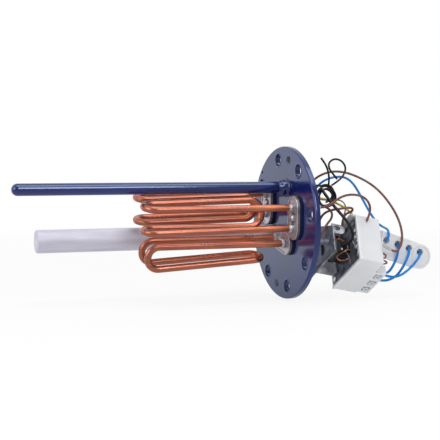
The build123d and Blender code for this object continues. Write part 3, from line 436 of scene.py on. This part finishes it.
# Free wires close to the solids' routes: material, diameter, length, far end and points
ROUTES = {
    "brown_lead_long": ("brown_wire", 2.8, 217.0, "fitting", [
        (29.0, 36.0, 33.2), (36.5, 36.0, 33.2), (43.5, 32.0, 38.0), (49.5, 26.0, 47.0),
        (59.0, 19.5, 56.0), (73.0, 14.0, 60.6), (88.5, 8.5, 59.0), (103.0, 2.5, 53.0),
        (115.4, -5.0, 44.9), (125.3, -12.0, 34.6), (133.2, -19.0, 21.8), (138.5, -26.5, 8.4),
        (140.3, -34.0, -5.1), (138.4, -41.0, -17.0), (134.4, -45.4, -26.4),
        (129.2, -47.1, -33.0), (124.4, -47.7, -34.8), (119.0, -48.0, -32.0),
    ]),
    "blue_lead": ("blue_wire", 2.8, 203.2, "object", [
        (29.0, 36.0, 9.7), (36.0, 36.0, 9.7), (42.0, 31.5, 15.5), (46.0, 24.5, 26.0),
        (49.0, 16.0, 37.5), (54.5, 9.5, 46.5), (63.5, 7.0, 51.7), (75.6, 5.0, 54.2),
        (86.0, 3.0, 52.6), (94.5, 1.0, 45.5), (102.6, -1.0, 32.1), (110.0, -3.0, 18.4),
        (116.6, -5.0, 6.6), (121.8, -9.0, -2.3), (124.0, -16.5, -6.0), (123.6, -25.5, -7.6),
        (121.5, -34.5, -8.4), (119.6, -41.6, -12.2), (118.6, -42.8, -18.3), (118.3, -37.5, -21.8),
    ]),
    "brown_lead_short": ("brown_wire", 2.8, 105.1, "object", [
        (29.0, -40.4, 19.2), (36.0, -40.4, 19.2), (44.0, -38.9, 22.6), (53.0, -36.0, 27.6),
        (63.0, -33.0, 31.8), (75.0, -30.0, 33.4), (88.5, -27.0, 32.0), (99.4, -24.0, 27.0),
        (105.4, -21.9, 18.4), (104.7, -21.9, 9.9), (99.6, -24.0, 1.1),
    ]),
    "earth_lead": ("earth_wire", 2.8, 101.9, "bare", [
        (8.3, 15.0, 37.3), (8.3, 15.0, 41.5), (12.0, 14.9, 46.2), (20.5, 14.3, 47.6),
        (29.5, 13.2, 43.5), (40.0, 11.5, 34.8), (51.0, 10.0, 28.2), (60.7, 7.0, 26.3),
        (68.9, 2.0, 23.4), (75.6, -5.3, 18.9), (81.3, -10.3, 14.0), (86.2, -12.5, 9.2),
    ]),
    "brown_hook_lead": ("brown_wire", 2.8, 127.8, "object", [
        (29.0, 3.4, -17.7), (36.0, 3.4, -17.7), (42.0, 2.0, -13.5), (45.4, -1.0, -5.5),
        (46.9, -4.2, 3.0), (50.7, -7.6, 10.6), (58.5, -11.2, 14.4), (67.7, -15.8, 15.9),
        (76.8, -19.2, 17.4), (82.6, -19.4, 16.6), (84.0, -17.4, 13.4),
        (81.0, -14.6, 11.2), (76.6, -12.0, 8.9),
        (74.0, -10.8, 1.0), (74.4, -9.5, -7.5), (76.4, -4.8, -13.7), (78.1, 0.5, -18.8),
        (77.4, 6.8, -23.2),
    ]),
    "brown_drop_lead": ("brown_wire", 2.8, 84.8, "bare", [
        (29.0, -19.4, -23.1), (35.5, -19.4, -23.1), (41.0, -18.2, -17.0), (46.0, -15.5, -9.2),
        (53.5, -11.5, -1.5), (61.5, -7.0, 4.2), (65.6, 0.0, 10.5), (64.0, 7.5, 16.0),
        (57.0, 14.5, 18.7), (49.5, 20.0, 19.0),
    ]),
    "black_cable": ("black_wire", 3.6, 91.2, "object", [
        (43.2, -14.6, 40.2), (47.8, -18.6, 32.1), (52.2, -23.0, 23.9), (58.1, -27.0, 15.7),
        (64.9, -30.5, 6.9), (71.6, -33.4, -2.5), (75.6, -35.0, -12.0), (75.8, -32.6, -20.5),
        (72.4, -25.5, -24.9), (71.6, -18.3, -29.95),
    ]),
    "black_lead_up": ("black_wire", 2.4, 36.0, "bare", [
        (54.8, -11.5, 45.1), (54.4, -13.2, 50.1), (52.6, -16.0, 56.8), (49.2, -18.0, 65.1),
        (44.7, -19.0, 71.6), (40.7, -19.2, 76.2),
    ]),
    "black_lead_loop": ("black_wire", 2.4, 83.8, "bare", [
        (58.8, -11.6, 43.9), (67.0, -10.0, 48.0), (76.0, -8.0, 54.8), (80.4, -7.0, 64.4),
        (74.3, -8.0, 73.0), (63.2, -9.5, 75.8), (54.9, -11.0, 71.0), (54.6, -12.3, 64.3),
        (58.3, -13.5, 58.5), (64.5, -14.2, 51.4),
    ]),
    "grey_capillary": ("grey_wire", 1.8, 332.5, "object", [
        (-198.75, -7.0, 42.0), (16.0, -7.0, 42.0), (26.0, -6.6, 39.0), (36.0, -6.0, 31.5),
        (46.0, -5.4, 26.6), (57.8, -4.6, 26.2), (69.0, -3.6, 26.5), (77.8, -3.2, 24.5),
        (82.2, -3.1, 18.8), (81.4, -3.1, 10.9), (77.9, -3.0, 2.5), (76.7, -2.7, -6.5),
        (78.1, -0.8, -13.0), (80.2, 3.5, -16.7), (79.7, 8.9, -20.5),
    ]),
    "blue_link_1": ("blue_wire", 3.0, 54.2, "object", [
        (133.8, -32.2, -26.8), (133.7, -39.6, -28.0), (132.0, -42.6, -34.0),
        (130.4, -41.8, -43.0), (128.2, -38.0, -51.6), (126.8, -33.2, -58.2),
        (124.2, -28.7, -62.4), (116.8, -28.3, -61.3),
    ]),
    "blue_link_2": ("blue_wire", 3.0, 76.5, "object", [
        (149.2, -32.2, -31.9), (149.2, -39.5, -32.9), (146.2, -42.8, -39.0),
        (141.5, -43.4, -48.5), (138.0, -38.6, -58.5), (135.6, -31.0, -66.5),
        (130.6, -21.5, -71.8), (123.6, -15.3, -72.4), (115.5, -14.9, -70.8),
    ]),
    "blue_link_3": ("blue_wire", 3.0, 74.7, "object", [
        (164.7, -32.2, -37.1), (164.7, -39.5, -38.2), (159.5, -43.6, -43.5),
        (151.5, -45.6, -51.0), (142.0, -46.0, -58.5), (134.6, -43.0, -64.0),
        (128.8, -35.4, -66.4), (123.6, -26.7, -64.9), (116.7, -25.4, -63.0),
    ]),
}


def smooth_curve(name, points, diameter, key):
    """A round wire on one smooth spline, whose control points are given in millimetres."""
    curve = bpy.data.curves.new(name, "CURVE")
    curve.dimensions = "3D"
    spline = curve.splines.new("NURBS")
    spline.points.add(len(points) - 1)
    for spot, point in zip(spline.points, points):
        spot.co = (*metres(point), 1.0)
    spline.order_u = 3
    spline.use_endpoint_u = True
    spline.resolution_u = 8
    curve.bevel_depth = diameter * MM / 2
    curve.bevel_resolution = 5
    curve.use_fill_caps = True
    curve.materials.append(materials[key])
    wire = bpy.data.objects.new(name, curve)
    bpy.context.scene.collection.objects.link(wire)
    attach(wire, "root")
    return wire


for node, (key, diameter, length, far_end, points) in ROUTES.items():
    wire = smooth_curve(f"{node}_wire", points, diameter, key)
    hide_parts(node)

# The black lead from the bulb, which winds into a coil at the thermowell's mouth
BLACK_IN = [(-198.75, -12.4, 42.0), (16.0, -12.4, 42.0), (26.0, -12.2, 43.5), (36.0, -11.0, 44.4)]
COIL_CENTRE = (52.0, -10.0, 30.6)
COIL_R = 10.9
COIL_TURNS = 3.6
COIL_START = 122.0
POINTS_PER_TURN = 14

# How the coil's turns differ: the height of each wave, its rate along the turns and its start
REACH_WAVE = (1.5, 2.9, 0.6)
SIDE_WAVE = (2.5, 2.1, 0.4)
SLIP_WAVE = (2.3, 1.75, 0.2 + math.pi / 2)


def wave(place, height, rate, start):
    """A sine wave along a line or around an angle."""
    return height * math.sin(rate * place + start)


def coil_point(step):
    """A point on the loose coil, whose turns differ in size and slip down and across."""
    turned = step / POINTS_PER_TURN
    angle = math.radians(COIL_START - 360 * turned)
    reach = COIL_R + wave(turned, *REACH_WAVE)
    x, y, z = COIL_CENTRE
    return (
        x + reach * math.cos(angle),
        y + wave(turned, *SIDE_WAVE),
        z + wave(turned, *SLIP_WAVE) + reach * math.sin(angle),
    )


coil_points = [coil_point(step) for step in range(int(COIL_TURNS * POINTS_PER_TURN) + 1)]
black_route = BLACK_IN + coil_points
black_wire = smooth_curve("black_lead_coil_wire", black_route, 2.4, "black_wire")
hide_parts("black_lead_in", "black_coil")


# Mesh helpers: points are given in millimetres and become one piece that rides with the part
def settle(name, key, mesh, smooth=True, replaced=()):
    """Puts a finished mesh on the part in one of the materials, standing for the nodes named."""
    mesh.name = name
    mesh.polygons.foreach_set("use_smooth", [smooth] * len(mesh.polygons))
    mesh.materials.clear()
    mesh.materials.append(materials[key])
    thing = bpy.data.objects.new(name, mesh)
    bpy.context.scene.collection.objects.link(thing)
    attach(thing, "root")
    if replaced:
        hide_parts(*replaced)


def piece(name, key, verts, faces, smooth=True, replaced=()):
    """The same from lists of points and faces, with every face turned outwards."""
    mesh = bpy.data.meshes.new(name)
    mesh.from_pydata([metres(v) for v in verts], [], faces)
    shape = bmesh.new()
    shape.from_mesh(mesh)
    bmesh.ops.recalc_face_normals(shape, faces=shape.faces)
    shape.to_mesh(mesh)
    shape.free()
    settle(name, key, mesh, smooth, replaced)


def skin(rings, looped=False):
    """Faces between rings of points in a row, closed into a loop or capped at both ends."""
    count = len(rings[0])
    verts = [point for ring in rings for point in ring]
    faces = []
    for row in range(len(rings) if looped else len(rings) - 1):
        here, after = row * count, (row + 1) % len(rings) * count
        for k in range(count):
            step = (k + 1) % count
            faces.append((here + k, here + step, after + step, after + k))
    if not looped:
        faces.append(tuple(range(count)))
        faces.append(tuple(range(len(verts) - count, len(verts))))
    return verts, faces


def lathe(centre, direction, profile, steps=48, shape=None, looped=False):
    """A turned form: the profile lists places along the axis with their radii, and shape
    adds a little to a radius by its angle and its place."""
    axis = Vector(direction).normalized()
    side = axis.orthogonal().normalized()
    up = axis.cross(side)
    rings = []
    for along, radius in profile:
        spot = Vector(centre) + axis * along
        ring = []
        for k in range(steps):
            angle = 2 * math.pi * k / steps
            reach = radius + (shape(angle, along) if shape else 0)
            ring.append(spot + side * (reach * math.cos(angle)) + up * (reach * math.sin(angle)))
        rings.append(ring)
    return skin(rings, looped)


def merged(parts):
    """Several lists of points and faces as one."""
    verts, faces = [], []
    for more_verts, more_faces in parts:
        start = len(verts)
        verts += more_verts
        faces += [tuple(start + k for k in face) for face in more_faces]
    return verts, faces


X_WAY = (1, 0, 0)

# The enamelled weld around the thermowell: a lumpy run of beads with a drip under it
WELL_SPOT = (0.0, -9.7, 42.0)
WELL_R = 6.75
WELD_LINE = [
    (-11.0, 0.02), (-10.2, 0.3), (-9.2, 0.55), (-8.0, 0.75), (-6.8, 0.95), (-5.6, 1.2),
    (-4.4, 1.5), (-3.2, 1.9), (-2.1, 2.4), (-1.1, 3.1), (-0.4, 3.8), (0.0, 4.4),
]
WELD_HALF = 5.5
DRIP_ANGLE = math.radians(200)
DRIP_SPOT = -6.0
DRIP_DEPTH = 2.8
DRIP_WIDTH = 0.012
DRIP_LENGTH = 7.0


def weld_lumps(angle, along):
    """Ripples of the weld and its drip, deepest in the middle of its run."""
    run = max(0.0, 1 - abs(along + WELD_HALF) / WELD_HALF)
    beads = wave(angle, 0.24, 9, 0.8 * along) + wave(angle, 0.16, 5, 1.0 - 1.1 * along)
    around = math.exp(-((math.cos(angle - DRIP_ANGLE) - 1) ** 2) / DRIP_WIDTH)
    down = math.exp(-((along - DRIP_SPOT) ** 2) / DRIP_LENGTH)
    return run * (beads + DRIP_DEPTH * around * down)


weld_rings = [(along, WELL_R + rise) for along, rise in WELD_LINE]
piece(
    "weld_bead",
    "enamel",
    *lathe(WELL_SPOT, X_WAY, weld_rings, 72, weld_lumps),
    replaced=["thermowell_collar"],
)

# A soft roll of enamel around every bolt hole, on both faces of the flange
BOLT_CIRCLE_R = 75.0
BOLT_HOLE_R = 7.25
FLANGE_T = 6.0
ROLL_LINE = [
    (-0.6, 0.02), (0.12, 0.12), (0.34, 0.5), (0.38, 0.9), (0.26, 1.4), (0.08, 1.9), (-0.05, 2.3),
]


def on_circle(x, degrees):
    """A place on the bolt circle, on a plane at x."""
    angle = math.radians(degrees)
    return (x, BOLT_CIRCLE_R * math.cos(angle), BOLT_CIRCLE_R * math.sin(angle))


roll_rings = [(along, BOLT_HOLE_R + reach) for along, reach in ROLL_LINE]
rolls = [
    lathe(on_circle(face, 125 + 45 * k), (way, 0, 0), roll_rings, 40, looped=True)
    for k in range(8)
    for face, way in ((0.0, -1), (FLANGE_T, 1))
]
piece("hole_rolls", "enamel", *merged(rolls))

# Threads inside the two smaller holes and along the anode's stud
THREAD_PITCH = 1.25
THREAD_DEPTH = 0.5
THREAD_STEP = 0.25
TAPPED_BACK_R = 5.78
TAPPED_THREAD_R = 5.2
STUD_THREAD_R = 3.72


def screw_thread(start, end):
    """The rise and fall of a thread's flanks around its axis, from start to end along it."""
    def shape(angle, along):
        if not start <= along <= end:
            return 0.0
        share = (along / THREAD_PITCH - angle / (2 * math.pi)) % 1.0
        return THREAD_DEPTH * (2 * abs(share - 0.5) - 0.5)
    return shape


def run_of_rings(start, count, radius):
    """Rings of one radius, close enough together to follow a thread."""
    return [(start + THREAD_STEP * k, radius) for k in range(count)]


lining = [
    (0.3, TAPPED_BACK_R), *run_of_rings(0.35, 22, TAPPED_THREAD_R), (5.65, TAPPED_BACK_R),
]
tapped = [
    lathe(on_circle(0, degrees), X_WAY, lining, 40, screw_thread(0.35, 5.6), looped=True)
    for degrees in (102.5, 282.5)
]
piece("tapped_threads", "galvanised_sheet", *merged(tapped))

stud = [
    (-36.0, 3.6), (-35.6, 4.0), (5.6, 4.0),
    *run_of_rings(6.0, 70, STUD_THREAD_R), (23.6, 3.7), (24.0, 3.3),
]
piece(
    "anode_stud_thread",
    "zinc",
    *lathe((0, 38.5, -17.7), X_WAY, stud, 40, screw_thread(6.0, 23.3)),
    replaced=["anode_stud"],
)

# Braze around each heater leg where it goes into its ferrule
LEG_SPOTS = [(-40.4, 19.2), (-40.4, -4.2), (3.4, -17.7), (-19.4, -23.1), (36.0, 33.2), (36.0, 9.8)]
BRAZE_LINE = [
    (-10.7, 4.08), (-10.4, 4.3), (-10.0, 4.6), (-9.6, 4.85), (-9.2, 4.95), (-8.9, 4.9), (-8.9, 4.4),
]


def braze_blobs(number):
    """The uneven flow of the braze around one leg."""
    def shape(angle, along):
        return wave(angle, 0.18, 5, number) + wave(angle, 0.12, 8, along - 2 * number)
    return shape


braze = [
    lathe((0, y, z), X_WAY, BRAZE_LINE, 36, braze_blobs(number))
    for number, (y, z) in enumerate(LEG_SPOTS)
]
piece("braze_rings", "nickel", *merged(braze))

# The housing's own directions: along its long side, along its short side and into it
HOUSING_SPOT = Vector((81.0, -6.0, -37.0))
HOUSING_POSE = (
    Matrix.Rotation(math.radians(-3), 3, "Z")
    @ Matrix.Rotation(math.radians(12), 3, "Y")
    @ Matrix.Rotation(math.radians(-36), 3, "X")
)
LONG = HOUSING_POSE @ Vector((0, 1, 0))
DEEP = HOUSING_POSE @ Vector((1, 0, 0))
SHORT = DEEP.cross(LONG)
SHEET_T = 1.5


def in_housing(x, y, z):
    """A point along the housing's long side, short side and depth, as millimetres of the part."""
    return HOUSING_SPOT + LONG * x + SHORT * y + DEEP * z


def cut_sheet(outlines, spot, across, up, thickness=SHEET_T, edge=0.25):
    """Sheet cut to outlines in millimetres, the first its border and the rest its holes, which
    lies around a spot in the housing along two directions."""
    curve = bpy.data.curves.new("outline", "CURVE")
    curve.dimensions = "2D"
    curve.fill_mode = "BOTH"
    curve.extrude = (thickness / 2 - edge) * MM
    curve.bevel_depth = edge * MM
    curve.bevel_resolution = 2
    curve.offset = -edge * MM
    for outline in outlines:
        spline = curve.splines.new("POLY")
        spline.points.add(len(outline) - 1)
        for corner, (x, y) in zip(spline.points, outline):
            corner.co = (x * MM, y * MM, 0, 1)
        spline.use_cyclic_u = True
    flat = bpy.data.objects.new("outline", curve)
    mesh = bpy.data.meshes.new_from_object(flat)
    origin = metres(in_housing(*spot))
    columns = (across, up, across.cross(up), origin)
    rows = [[column[k] for column in columns] for k in range(3)]
    mesh.transform(Matrix([*rows, [0, 0, 0, 1]]))
    bpy.data.objects.remove(flat)
    return mesh


def oval(x, y, across, high, steps=28):
    """A round or stretched hole as a closed outline."""
    angles = [2 * math.pi * k / steps for k in range(steps)]
    return [(x + across / 2 * math.cos(a), y + high / 2 * math.sin(a)) for a in angles]


def slot_outline(x, y, across, high, steps=14):
    """An upright slot with round ends."""
    r = across / 2
    lift = high / 2 - r
    angles = [math.pi * k / steps for k in range(steps + 1)]
    top = [(x + r * math.cos(a), y + lift + r * math.sin(a)) for a in angles]
    low = [(x - r * math.cos(a), y - lift - r * math.sin(a)) for a in angles]
    return top + low


def box_outline(left, low, right, high):
    """A rectangle as a closed outline."""
    return [(left, low), (right, low), (right, high), (left, high)]


def joined(meshes):
    """Several meshes as one."""
    shape = bmesh.new()
    for mesh in meshes:
        shape.from_mesh(mesh)
    whole = bpy.data.meshes.new("joined")
    shape.to_mesh(whole)
    shape.free()
    return whole


# Folded bracket: the web with its raised corner, folded edges, a lug with a hole and a side wall
# Its edges lie at NEAR and FAR along the housing's long side, at LOW and HIGH along the short one
NEAR, FAR = -35.7, 34.0
LOW, HIGH = -26.5, 8.0
WEB_Z = -36.0
HALF = SHEET_T / 2
SLOT_SPOT = (-8.8, -8.6)
LUG_R = 6.2
web = [(NEAR, LOW), (FAR, LOW), (FAR, HIGH), (12.0, HIGH), (2.0, 24.7), (-7.1, 24.7), (NEAR, HIGH)]
web_holes = [
    slot_outline(*SLOT_SPOT, 10.0, 18.0),
    oval(24.0, -10.0, 4.3, 4.3),
    oval(8.0, -20.0, 4.0, 4.0),
    oval(-8.0, 15.0, 3.4, 3.4),
]
lug_angles = [math.pi * k / 12 for k in range(13)]
lug_end = [(-25.0 + LUG_R * math.sin(a), 5.1 + LUG_R * math.cos(a)) for a in lug_angles]
lug = [(-36.0, LOW), (-36.0, 11.3), *lug_end, (-33.5, -1.1), (-33.5, LOW)]
bracket = [
    cut_sheet([web, *web_holes], (0, 0, WEB_Z + HALF), LONG, SHORT),
    cut_sheet([box_outline(NEAR, -36.0, FAR, -33.0)], (0, LOW + HALF, 0), LONG, DEEP),
]
settle(
    "bracket_web",
    "galvanised_sheet",
    joined(bracket),
    smooth=False,
    replaced=["support_bracket"],
)
# The folds and lug are in the lighter copy of the sheet, which is painted light
folds = [
    cut_sheet([lug, oval(-29.0, 6.0, 8.0, 7.4)], (NEAR + HALF, 0, 0), DEEP, SHORT),
    cut_sheet([box_outline(-36.0, -15.0, -1.5, HIGH)], (FAR - HALF, 0, 0), DEEP, SHORT),
    cut_sheet([box_outline(22.0, -15.0, FAR, HIGH)], (0, 0, -1.5 - HALF), LONG, SHORT),
]
settle("bracket_folds", "lit_sheet", joined(folds), smooth=False)

# Sheets that close the view through the lug's hole and the web's slot: painted shade where only
# shade is seen
lug_shade = cut_sheet([oval(-28.0, 6.8, 10.5, 10.5)], (NEAR + 3 * HALF + 1.2, 0, 0), DEEP, SHORT, 1.0)
settle("lug_shade_sheet", "galvanised_sheet", lug_shade, smooth=False)
slot_shade_spot = (0, 0, WEB_Z + SHEET_T + 0.7)
slot_shade = cut_sheet([slot_outline(*SLOT_SPOT, 12.6, 20.6)], slot_shade_spot, LONG, SHORT, 1.2)
settle("slot_shade_sheet", "gasket_rubber", slot_shade, smooth=False)


def rounded_block(low, high, edge):
    """A block in the housing's directions with rounded edges."""
    shape = bmesh.new()
    bmesh.ops.create_cube(shape, size=1.0)
    size = [b - a for a, b in zip(low, high)]
    middle = [(a + b) / 2 for a, b in zip(low, high)]
    for vert in shape.verts:
        x, y, z = (m + s * c for m, s, c in zip(middle, size, vert.co))
        vert.co = in_housing(x, y, z)
    edges = list(shape.edges)
    bmesh.ops.bevel(shape, geom=edges, offset=edge, segments=3, profile=0.5, affect="EDGES")
    shape.verts.ensure_lookup_table()
    verts = [vert.co.copy() for vert in shape.verts]
    faces = [tuple(vert.index for vert in face.verts) for face in shape.faces]
    shape.free()
    return verts, faces


# Thermostat: a foot, a body that stands off it, a cover with a joint line and four blade contacts
stat_parts = [
    rounded_block((-13.0, -9.0, -4.6), (13.0, 5.0, -1.55), 0.5),
    rounded_block((-12.4, -8.4, -13.2), (12.4, 4.4, -4.2), 0.8),
    rounded_block((-13.0, -9.0, -17.6), (13.0, 5.0, -12.8), 1.0),
]
piece(
    "thermostat_case",
    "black_plastic",
    *merged(stat_parts),
    smooth=False,
    replaced=["thermostat_body"],
)
blades = [
    rounded_block((x, 5.0, -11.5), (x + 0.9, 8.6, -7.6), 0.2) for x in (-8.5, -3.0, 2.5, 8.0)
]
piece("thermostat_blades", "zinc", *merged(blades), smooth=False)

# Small contacts along the mounting plate: places along the short side, with the heads' radii
HEAD_LINE = [(0.0, 1.0), (0.0, 1.05), (0.35, 1.0), (0.7, 0.82), (0.95, 0.5), (1.05, 0.12)]
HEAD_RISE = 0.8
HEADS = [(12.9, 1.5), (4.8, 2.0), (-4.1, 1.4), (-9.8, 1.7), (-15.4, 1.3), (-20.1, 1.7)]
CLIPS = [9.0, 0.4, -12.6]


def head_at(spot, direction, radius):
    """A small domed screw head, its radius in millimetres."""
    profile = [(along * radius * HEAD_RISE, reach * radius) for along, reach in HEAD_LINE]
    return lathe(spot, direction, profile, 24)


heads = [head_at(in_housing(-12.9, -6.3, -12.4), -LONG, 1.6)]
heads += [head_at(in_housing(-31.4, y, -1.5), -DEEP, radius) for y, radius in HEADS]
# The heads are in the lighter zinc, which is painted highlight
piece("contact_heads", "lit_zinc", *merged(heads))
clips = [rounded_block((-33.4, y - 1.6, -4.6), (-30.4, y + 1.6, -1.5), 0.3) for y in CLIPS]
piece("contact_clips", "nickel", *merged(clips), smooth=False)

# Short stiff wires in the housing's directions: three at the contacts, two stubs behind it
SHORT_WIRES = {
    "switch_link_1": ("grey_wire", 1.1, [
        (-12.8, 1.0, -9.0), (-18.6, -0.5, -9.0), (-24.1, -8.7, -10.5),
        (-22.6, -12.4, -10.0), (-20.4, -11.8, -9.2),
    ]),
    "switch_link_2": ("grey_wire", 1.3, [
        (-24.5, 9.0, -1.6), (-26.0, 6.2, -5.0), (-31.4, -4.0, -7.5),
        (-31.0, -10.0, -6.0), (-29.4, -12.4, -1.6),
    ]),
    "switch_link_3": ("grey_wire", 1.2, [
        (-12.8, -7.0, -9.0), (-18.1, -14.0, -9.0), (-19.8, -22.0, -7.0),
        (-15.0, -25.6, -4.0), (-12.0, -25.6, -1.6),
    ]),
    "rear_stub_1": ("brown_wire", 2.0, [
        (-33.0, -15.0, 28.6), (-34.4, -16.4, 32.4), (-34.6, -19.4, 34.0),
        (-33.4, -22.0, 32.4), (-32.0, -22.6, 28.6),
    ]),
    "rear_stub_2": ("brown_wire", 2.0, [
        (-33.0, -25.2, 28.6), (-34.6, -26.4, 32.2), (-34.8, -28.6, 34.2),
        (-33.2, -29.8, 32.0), (-31.4, -29.4, 28.6),
    ]),
}
for name, (key, diameter, points) in SHORT_WIRES.items():
    smooth_curve(name, [in_housing(*point) for point in points], diameter, key)

# Painted highlight: a strip of lighter plastic along the housing's mouth. Painted shade: a dark
# sheet behind the mounting plate's holes
highlight_strips = [
    rounded_block((-36.2, -31.2, -2.25), (-34.0, 31.2, -0.2), 0.4),
    rounded_block((-34.5, -31.25, -2.2), (36.2, -29.0, -0.25), 0.4),
]
piece("housing_highlight_strips", "highlight_plastic", *merged(highlight_strips), smooth=False)
# A dark sheet behind the mounting plate's holes: painted shade
plate_shade = cut_sheet([box_outline(-33.5, -28.5, 33.5, 28.5)], (0, 0, 0.4), LONG, SHORT, 0.6, 0.1)
settle("plate_shade_sheet", "gasket_rubber", plate_shade, smooth=False)
